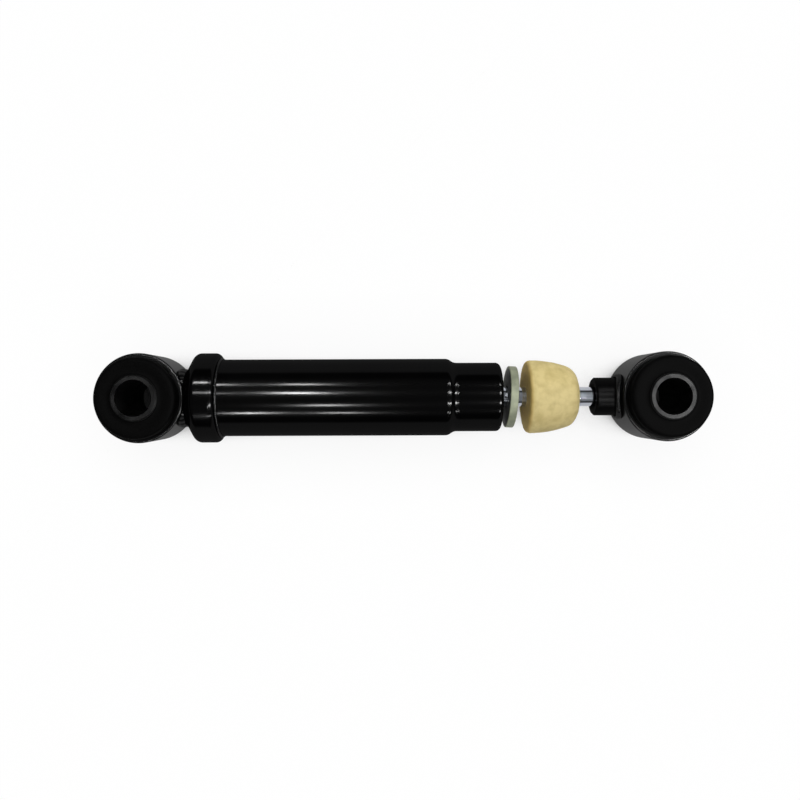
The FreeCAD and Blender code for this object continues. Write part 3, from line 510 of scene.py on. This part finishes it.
def olive_zinc():
    """Cloudy zinc, with painted shade on its faces as far out from the rod as they reach."""
    finish, tree, shader, place = new_finish("olive_zinc")
    shader.inputs["Metallic"].default_value = ZINC_METAL
    shader.inputs["Specular IOR Level"].default_value = ZINC_SHINE
    bath = clouds(tree, place, ZINC_CLOUD, detail=5)
    # Painted shade on the faces, the zinc's own colour on the rim.
    unshaded_share, shaded_face_coat, fresh_coat, coat = colour_blend(tree)
    tint(tree, bath, shaded_face_coat, FACE_SHADE_DARK, FACE_SHADE_LIGHT)
    tint(tree, bath, fresh_coat, ZINC_DARK, ZINC_LIGHT)
    aside = tree.nodes.new("ShaderNodeVectorMath")
    aside.operation = "MULTIPLY"
    aside.inputs[1].default_value = OFF_AXIS
    tree.links.new(place, aside.inputs[0])
    reach = tree.nodes.new("ShaderNodeVectorMath")
    reach.operation = "LENGTH"
    tree.links.new(aside.outputs["Vector"], reach.inputs[0])
    vary(tree, reach.outputs["Value"], unshaded_share, (0, 1), (FACE_SHADE_REACH, FACE_SHADE_REACH + FACE_SHADE_FADE))
    tree.links.new(coat, shader.inputs["Base Color"])
    vary(tree, bath, shader.inputs["Roughness"], ZINC_ROUGH)
    stamping = clouds(tree, place, STAMP_GRAIN, detail=2, stretch=STAMP_STRETCH)
    tree.links.new(emboss(tree, stamping, STAMP_DEPTH), shader.inputs["Normal"])
    return finish


dress(olive_zinc(), "stop_washer")

# Bump stop: a moulded block of microcellular foam on the rod, with a flat heel, a crisp edge
# where the mould parted, a domed flank and a rounded nose. Its skin is uneven and pitted, and the
# heel is painted browner and darker as painted shade.

FOAM_SEGMENTS = 144
FOAM_BORE = 0.00555
FOAM_FACE = 0.012
FOAM_HEEL = 0.0023
FOAM_HEEL_STEPS = 8
FOAM_CREST = 0.003
FOAM_FLASH = 0.00012
FOAM_FLASH_BACK = 0.0004
FOAM_FLANK = 0.06
FOAM_FLANK_END = 0.02
FOAM_FLANK_STEPS = 22
FOAM_NOSE_BACK = 0.001
FOAM_NOSE_STEPS = 12
FOAM_CREASE = math.radians(40)
FOAM_LUMP = 0.006
FOAM_LUMP_HEIGHT = 0.0005
TURNED_MERGE = 0.000004


def turned(name, stations, axis, centre, segments, crease):
    """A round piece: a circle is drawn out from station to station, each of them (place along
    the axis, radius), and the last is closed on the first."""
    turn = (0, math.pi / 2, 0) if axis.x else (0, 0, 0)
    along, radius = stations[0]
    bpy.ops.object.select_all(action="DESELECT")
    bpy.ops.mesh.primitive_circle_add(
        vertices=segments, radius=radius, location=centre + axis * along, rotation=turn
    )
    piece = bpy.context.object
    piece.name = name
    bpy.ops.object.transform_apply(location=True, rotation=True, scale=True)
    bpy.ops.object.mode_set(mode="EDIT")
    bpy.ops.mesh.select_all(action="SELECT")
    for next_along, next_radius in stations[1:] + stations[:1]:
        growth = next_radius / radius
        spread = [1 if share else growth for share in axis]
        step = axis * (next_along - along)
        bpy.ops.mesh.extrude_region_move(TRANSFORM_OT_translate={"value": step})
        bpy.ops.transform.resize(value=spread, center_override=centre + axis * next_along)
        along, radius = next_along, next_radius
    bpy.ops.mesh.select_all(action="SELECT")
    bpy.ops.mesh.remove_doubles(threshold=TURNED_MERGE)
    bpy.ops.mesh.normals_make_consistent(inside=False)
    bpy.ops.object.mode_set(mode="OBJECT")
    bpy.ops.object.shade_smooth_by_angle(angle=crease)
    return piece


def arc(start, end, radius, steps):
    """Stations on an arc that bulges out between two stations."""
    first = Vector(start)
    last = Vector(end)
    chord = last - first
    inward = Vector((chord.y, -chord.x)).normalized()
    centre = (first + last) / 2 + inward * math.sqrt(max(radius**2 - chord.length_squared / 4, 0))
    opening = 2 * math.asin(min(chord.length / 2 / radius, 1))
    stations = []
    for number in range(steps + 1):
        done = opening * number / steps
        arm = (first - centre) * math.sin(opening - done) + (last - centre) * math.sin(done)
        stations.append(tuple(centre + arm / math.sin(opening)))
    return stations


axis_x = Vector((1, 0, 0))
foam_low, foam_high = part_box("bump_stop")
foam_radius = foam_high.y - FOAM_FLASH
foam_crest = foam_low.x + FOAM_CREST
foam_nose = foam_high.x - FOAM_NOSE_BACK
flank_lean = math.asin(FOAM_FLANK_END / FOAM_FLANK)
flank_fall = FOAM_FLANK * (1 - math.cos(flank_lean))
flank_end = (foam_crest + FOAM_FLANK_END, foam_radius - flank_fall)
nose_radius = (foam_nose - flank_end[0]) / (1 - math.sin(flank_lean))
nose_face = flank_end[1] - nose_radius * math.cos(flank_lean)
foam_heel = (foam_low.x, foam_radius - FOAM_HEEL)
foam_edge = (foam_low.x + FOAM_HEEL, foam_radius)
foam_stations = [(foam_low.x, FOAM_BORE), (foam_low.x, FOAM_FACE)]
foam_stations += arc(foam_heel, foam_edge, FOAM_HEEL, FOAM_HEEL_STEPS)
foam_stations += [(foam_crest - FOAM_FLASH_BACK, foam_radius + FOAM_FLASH)]
foam_stations += arc((foam_crest, foam_radius), flank_end, FOAM_FLANK, FOAM_FLANK_STEPS)
foam_stations += arc(flank_end, (foam_nose, nose_face), nose_radius, FOAM_NOSE_STEPS)[1:]
foam_stations += [(foam_nose, FOAM_BORE)]
foam = turned("foam_bump_stop", foam_stations, axis_x, body_eye, FOAM_SEGMENTS, FOAM_CREASE)
skin = foam.vertex_groups.new(name="skin")
skin.add([spot.index for spot in foam.data.vertices if spot.co.yz.length > nose_face], 1, "ADD")
lumps = bpy.data.textures.new("foam_lumps", "CLOUDS")
lumps.noise_scale = FOAM_LUMP
finish_with(
    foam,
    "DISPLACE",
    texture=lumps,
    texture_coords="LOCAL",
    strength=FOAM_LUMP_HEIGHT,
    vertex_group="skin",
)

FOAM_DARK = (0.535, 0.425, 0.166, 1)
FOAM_LIGHT = (0.66, 0.54, 0.238, 1)
FOAM_ROUGH = (0.6, 0.8)
FOAM_SHINE = 0.12
FOAM_STAIN = 0.005
FOAM_STAIN_SPAN = (0.32, 0.6)
# Painted shade: the heel is painted browner and darker, fading out along the damper.
HEEL_SHADE_DARK = (0.44, 0.305, 0.09, 1)
HEEL_SHADE_LIGHT = (0.54, 0.39, 0.13, 1)
HEEL_SHADE_REACH = 0.0004
HEEL_SHADE_END = 0.0017
FOAM_PORE = 0.0005
FOAM_PORE_DEPTH = 0.00004
FOAM_DENT = 0.002
FOAM_DENT_DEPTH = 0.00008


def bump_foam():
    """Foam stained in blotches, with painted shade browning its heel, pores and shallow dents."""
    finish, tree, shader, place = new_finish("bump_foam")
    stains = clouds(tree, place, FOAM_STAIN, detail=6)
    foam_body_share, heel_shade_colour, body_colour, foam_colour_with_shade = colour_blend(tree)
    tint(tree, stains, heel_shade_colour, HEEL_SHADE_DARK, HEEL_SHADE_LIGHT, FOAM_STAIN_SPAN)
    tint(tree, stains, body_colour, FOAM_DARK, FOAM_LIGHT, FOAM_STAIN_SPAN)
    # Painted shade: the brown heel colour near the heel, fading to the body colour.
    along = tree.nodes.new("ShaderNodeSeparateXYZ")
    tree.links.new(place, along.inputs["Vector"])
    heel_shade_edge = (foam_low.x + HEEL_SHADE_REACH, foam_low.x + HEEL_SHADE_END)
    vary(tree, along.outputs["X"], foam_body_share, (0, 1), heel_shade_edge)
    tree.links.new(foam_colour_with_shade, shader.inputs["Base Color"])
    vary(tree, stains, shader.inputs["Roughness"], FOAM_ROUGH)
    shader.inputs["Specular IOR Level"].default_value = FOAM_SHINE
    pores = tree.nodes.new("ShaderNodeTexVoronoi")
    pores.inputs["Scale"].default_value = 1 / FOAM_PORE
    tree.links.new(place, pores.inputs["Vector"])
    pitted = emboss(tree, pores.outputs["Distance"], FOAM_PORE_DEPTH)
    dented = emboss(tree, clouds(tree, place, FOAM_DENT, detail=3), FOAM_DENT_DEPTH, pitted)
    tree.links.new(dented, shader.inputs["Normal"])
    return finish


belongs(foam, "foam_stop", "bump_stop", bump_foam())

# Bushes: black rubber bonded between ring and sleeve, moulded with a lip that spreads over the
# ring's end, a shallow moat round the sleeve and a thin flash line where the mould halves met.

RUBBER_DARK = (0.0009, 0.0009, 0.0009, 1)
RUBBER_LIGHT = (0.0028, 0.0028, 0.0028, 1)
RUBBER_ROUGH = (0.47, 0.63)
RUBBER_GRAIN = 0.0007
RUBBER_RELIEF = 0.00001
RUBBER_SHINE = 0.006
BUSH_SEGMENTS = 128
BUSH_CREASE = math.radians(50)
# Each station is (height above the eye's middle, radius).
BUSH_FACE = [
    (0.02495, 0.0128),
    (0.0246, 0.0133),
    (0.02435, 0.0142),
    (0.0244, 0.0154),
    (0.02465, 0.017),
    (0.02485, 0.0185),
    (0.0249, 0.0196),
]
BUSH_EDGE = 0.0024
BUSH_EDGE_STEPS = 8
BUSH_LIP = 0.0224
BUSH_FLASH = [(0.0207, 0.0224), (0.0204, 0.0226), (0.0201, 0.0224)]
BUSH_SEAT = [(0.01705, 0.0224), (0.017, 0.0213)]

rubber = dull(
    "bush_rubber", RUBBER_DARK, RUBBER_LIGHT, RUBBER_ROUGH, RUBBER_GRAIN, RUBBER_RELIEF, RUBBER_SHINE
)
axis_z = Vector((0, 0, 1))
bush_top = BUSH_FACE[-1][0]
lip_start = (bush_top - BUSH_EDGE, BUSH_LIP)
lip_end = (bush_top, BUSH_LIP - BUSH_EDGE)
rounding = arc(lip_start, lip_end, BUSH_EDGE, BUSH_EDGE_STEPS)
upper = BUSH_SEAT[::-1] + BUSH_FLASH[::-1] + rounding + BUSH_FACE[::-1]
lower = [(-along, radius) for along, radius in upper[::-1]]
for name, body, replaced, centre in (
    ("body_eye_rubber", "barrel", "body_eye_bush", body_eye),
    ("rod_eye_rubber", "rod", "rod_eye_bush", rod_eye),
):
    bush = turned(name, lower + upper, axis_z, centre, BUSH_SEGMENTS, BUSH_CREASE)
    belongs(bush, body, replaced, rubber)

# Sleeves: thick steel bush sleeves, cut to length and faced on a lathe, then blackened, so that
# their ends show fine rings under a dark, cloudy film. The rod eye's sleeve is painted lighter, as
# painted light.

SLEEVE_DARK = (0.003, 0.003, 0.003, 1)
SLEEVE_LIGHT = (0.009, 0.009, 0.009, 1)
# Painted light: the rod eye's sleeve gets lighter tones than the body eye's.
PAINTED_LIGHT_SLEEVE_DARK = (0.005, 0.005, 0.005, 1)
PAINTED_LIGHT_SLEEVE_LIGHT = (0.014, 0.014, 0.014, 1)
SLEEVE_ROUGH = (0.36, 0.5)
SLEEVE_CLOUD = 0.006
FACING_RING = 0.0004
FACING_DEPTH = 0.000006
FACING_WANDER = 1
WAVE_LENGTH = math.pi / 10


def sleeve_steel(name, centre, dark, light):
    """Blackened steel with the lathe's rings round the bore. A wave pattern repeats after
    WAVE_LENGTH, and is scaled to repeat after each ring."""
    finish, tree, shader, place = new_finish(name)
    shader.inputs["Metallic"].default_value = 1
    film = clouds(tree, place, SLEEVE_CLOUD, detail=6)
    tint(tree, film, shader.inputs["Base Color"], dark, light)
    vary(tree, film, shader.inputs["Roughness"], SLEEVE_ROUGH)
    middle = tree.nodes.new("ShaderNodeMapping")
    middle.inputs["Location"].default_value = -centre
    rings = tree.nodes.new("ShaderNodeTexWave")
    rings.wave_type = "RINGS"
    rings.rings_direction = "Z"
    rings.inputs["Scale"].default_value = WAVE_LENGTH / FACING_RING
    rings.inputs["Distortion"].default_value = FACING_WANDER
    tree.links.new(place, middle.inputs["Vector"])
    tree.links.new(middle.outputs["Vector"], rings.inputs["Vector"])
    tree.links.new(emboss(tree, rings.outputs["Fac"], FACING_DEPTH), shader.inputs["Normal"])
    return finish


body_sleeve_steel = sleeve_steel("body_eye_sleeve_steel", body_eye, SLEEVE_DARK, SLEEVE_LIGHT)
dress(body_sleeve_steel, "body_eye_sleeve")
# The rod eye's sleeve: the same steel in lighter tones, as painted light.
rod_sleeve_painted_light_steel = sleeve_steel("rod_eye_sleeve_steel", rod_eye, PAINTED_LIGHT_SLEEVE_DARK, PAINTED_LIGHT_SLEEVE_LIGHT)
dress(rod_sleeve_painted_light_steel, "rod_eye_sleeve")

# Floor: a plain white sheet of paper board, wide enough for every view. It shows white with a
# pale shadow, as in the photograph, painted as shade where its colour and glow fall close to the
# part.

FLOOR_SIZE = 16
FLOOR_WHITE = (0.97, 0.97, 0.97, 1)
FLOOR_ROUGH = (0.9, 1)
FLOOR_GLOW = 0.92
FLOOR_SHADE_REACH = 0.05
FLOOR_OPEN_SPAN = (0.2, 0.55)
PAPER_GRAIN = 0.004


def seen_rays(tree):
    """1 for the rays that show a background, straight, mirrored or through glass, and else 0."""
    path = tree.nodes.new("ShaderNodeLightPath")
    mirrored = tree.nodes.new("ShaderNodeMath")
    tree.links.new(path.outputs["Is Camera Ray"], mirrored.inputs[0])
    tree.links.new(path.outputs["Is Glossy Ray"], mirrored.inputs[1])
    through = tree.nodes.new("ShaderNodeMath")
    tree.links.new(mirrored.outputs[0], through.inputs[0])
    tree.links.new(path.outputs["Is Transmission Ray"], through.inputs[1])
    return through.outputs[0]


def paper_board():
    """White paper that glows where it is seen in the open, and less close to what lies on it, where
    painted shade also darkens its colour.
    """
    finish, tree, shader, place = new_finish("paper")
    vary(tree, clouds(tree, place, PAPER_GRAIN), shader.inputs["Roughness"], FLOOR_ROUGH)
    shader.inputs["Specular IOR Level"].default_value = 0
    # Painted shade: the paper's colour and glow fall off where the part covers it.
    painted_shade = tree.nodes.new("ShaderNodeAmbientOcclusion")
    painted_shade.inputs["Distance"].default_value = FLOOR_SHADE_REACH
    painted_shade.inputs["Color"].default_value = FLOOR_WHITE
    tree.links.new(painted_shade.outputs["Color"], shader.inputs["Base Color"])
    share = tree.nodes.new("ShaderNodeMath")
    share.operation = "MULTIPLY"
    tree.links.new(seen_rays(tree), share.inputs[0])
    vary(tree, painted_shade.outputs["AO"], share.inputs[1], (0, FLOOR_GLOW), FLOOR_OPEN_SPAN)
    glow = tree.nodes.new("ShaderNodeEmission")
    mixed = tree.nodes.new("ShaderNodeMixShader")
    tree.links.new(share.outputs[0], mixed.inputs["Fac"])
    tree.links.new(shader.outputs["BSDF"], mixed.inputs[1])
    tree.links.new(glow.outputs["Emission"], mixed.inputs[2])
    tree.links.new(mixed.outputs["Shader"], tree.nodes["Material Output"].inputs["Surface"])
    return finish


bpy.ops.object.select_all(action="DESELECT")
bpy.ops.mesh.primitive_plane_add(size=FLOOR_SIZE, location=(0, 0, cad_low.z))
floor = bpy.context.object
floor.name = "floor"
floor.data.materials.append(paper_board())

# Light: a pale room, white at the horizon and dim overhead, and a wide soft light from above.
# Small lamps over the damper, and small and long ones beyond its rod eye, show only as the rows
# of glints on its gloss.

# Each tone of the sky is (height from 0 at the horizon to 1 overhead, brightness).
SKY_TONES = ((0, 1), (0.12, 1), (0.24, 0.05), (0.5, 0.05), (0.62, 0.3), (1, 0.3))
SKY_LIGHT = 0.5
WALL_WHITE = (1, 1, 1, 1)
SOFT_LIGHT = 2.8
SOFT_LIGHT_SPREAD = math.radians(60)
SOFT_LIGHT_TILT = (math.radians(-13), math.radians(3), 0)

scene = bpy.context.scene
sky = bpy.data.worlds.new("room")
scene.world = sky
sky.use_nodes = True
tree = sky.node_tree
background = tree.nodes["Background"]
direction = tree.nodes.new("ShaderNodeSeparateXYZ")
tree.links.new(tree.nodes.new("ShaderNodeTexCoord").outputs["Generated"], direction.inputs["Vector"])
tones = tree.nodes.new("ShaderNodeValToRGB")
stops = tones.color_ramp.elements
ready_stops = len(stops)
for number, (rise, tone) in enumerate(SKY_TONES):
    stop = stops[number] if number < ready_stops else stops.new(rise)
    stop.position = rise
    stop.color = (tone, tone, tone, 1)
tree.links.new(direction.outputs["Z"], tones.inputs["Fac"])
seen, mirrored_wall, seen_wall, wall = colour_blend(tree)
seen_wall.default_value = WALL_WHITE
tree.links.new(tree.nodes.new("ShaderNodeLightPath").outputs["Is Camera Ray"], seen)
tree.links.new(tones.outputs["Color"], mirrored_wall)
tree.links.new(wall, background.inputs["Color"])
vary(tree, seen_rays(tree), background.inputs["Strength"], (SKY_LIGHT, 1), (0, 1))

bpy.ops.object.light_add(type="SUN", rotation=SOFT_LIGHT_TILT)
soft_light = bpy.context.object
soft_light.name = "soft_light"
soft_light.data.energy = SOFT_LIGHT
soft_light.data.angle = SOFT_LIGHT_SPREAD
soft_light.visible_glossy = False

# Each near lamp is (degrees aside from straight up, metres along the damper, watts). A far lamp has
# a share of FAR_LAMP_POWER instead, and the strip lamp at its angle has that share of STRIP_POWER.
LAMP_HEIGHT = 1
LAMP_AIM = Vector((0.1, 0, 0))
NEAR_LAMP_SIZE = (0.06, 0.08)
NEAR_LAMPS = (
    (39, -0.248, 3.9),
    (39, -0.045, 3.5),
    (13.2, -0.2, 0.9),
    (13.2, -0.024, 6.1),
    (-22.8, 0.022, 2.7),
    (-46, -0.18, 5.8),
    (-46, 0.0285, 3),
)
FAR_LAMP_SIZE = (0.06, 0.03)
FAR_LAMP_POWER = 2.7
FAR_LAMPS = ((39, 0.507, 0.8), (13.2, 0.4545, 1.1), (-18.5, 0.465, 1.5), (-46, 0.542, 0.65))
STRIP_SIZE = (0.9, 0.06)
STRIP_POWER = 34
STRIP_ALONG = 1.16
STRIP_FAN = 0.2


def glint_lamp(name, spot, turn, power, size):
    """A lamp that only gloss shows."""
    bpy.ops.object.light_add(type="AREA", location=spot, rotation=turn)
    lamp = bpy.context.object
    lamp.name = name
    lamp.data.shape = "RECTANGLE"
    lamp.data.size, lamp.data.size_y = size
    lamp.data.energy = power
    lamp.visible_camera = False
    lamp.visible_diffuse = False


def small_lamp(name, angle, along, power, size):
    """A small lamp at an angle from straight up, aimed at the damper."""
    spot = Vector((along, math.tan(math.radians(angle)) * LAMP_HEIGHT, LAMP_HEIGHT))
    turn = (LAMP_AIM - spot).to_track_quat("-Z", "Y").to_euler()
    glint_lamp(name, spot, turn, power, size)


def strip_lamp(name, angle, power):
    """A long lamp that lies flat beyond the rod eye and fans out, for the glints on the swage."""
    slope = math.tan(math.radians(angle))
    lean = STRIP_FAN * slope
    aside = slope * LAMP_HEIGHT + lean * STRIP_ALONG
    glint_lamp(name, (STRIP_ALONG, aside, LAMP_HEIGHT), (0, 0, math.atan(lean)), power, STRIP_SIZE)


for number, (angle, along, power) in enumerate(NEAR_LAMPS, start=1):
    small_lamp(f"near_lamp_{number}", angle, along, power, NEAR_LAMP_SIZE)
for number, (angle, along, share) in enumerate(FAR_LAMPS, start=1):
    small_lamp(f"far_lamp_{number}", angle, along, FAR_LAMP_POWER * share, FAR_LAMP_SIZE)
    strip_lamp(f"strip_lamp_{number}", angle, STRIP_POWER * share)

# Camera: straight above the damper's middle, looking down, with the frame shifted as it is in
# the photograph.

CAMERA_PLACE = (0.1361, 0, 0.45)
CAMERA_LENS = 35.53
CAMERA_SENSOR = 36
CAMERA_ROLL = math.radians(-0.21)
CAMERA_SHIFT = (0.0175, -0.0034)
CAMERA_CLIP = 0.01

bpy.ops.object.camera_add(location=CAMERA_PLACE, rotation=(0, 0, CAMERA_ROLL))
camera = bpy.context.object
camera.data.lens = CAMERA_LENS
camera.data.sensor_width = CAMERA_SENSOR
camera.data.shift_x, camera.data.shift_y = CAMERA_SHIFT
camera.data.clip_start = CAMERA_CLIP
scene.camera = camera
scene.view_settings.view_transform = "Standard"
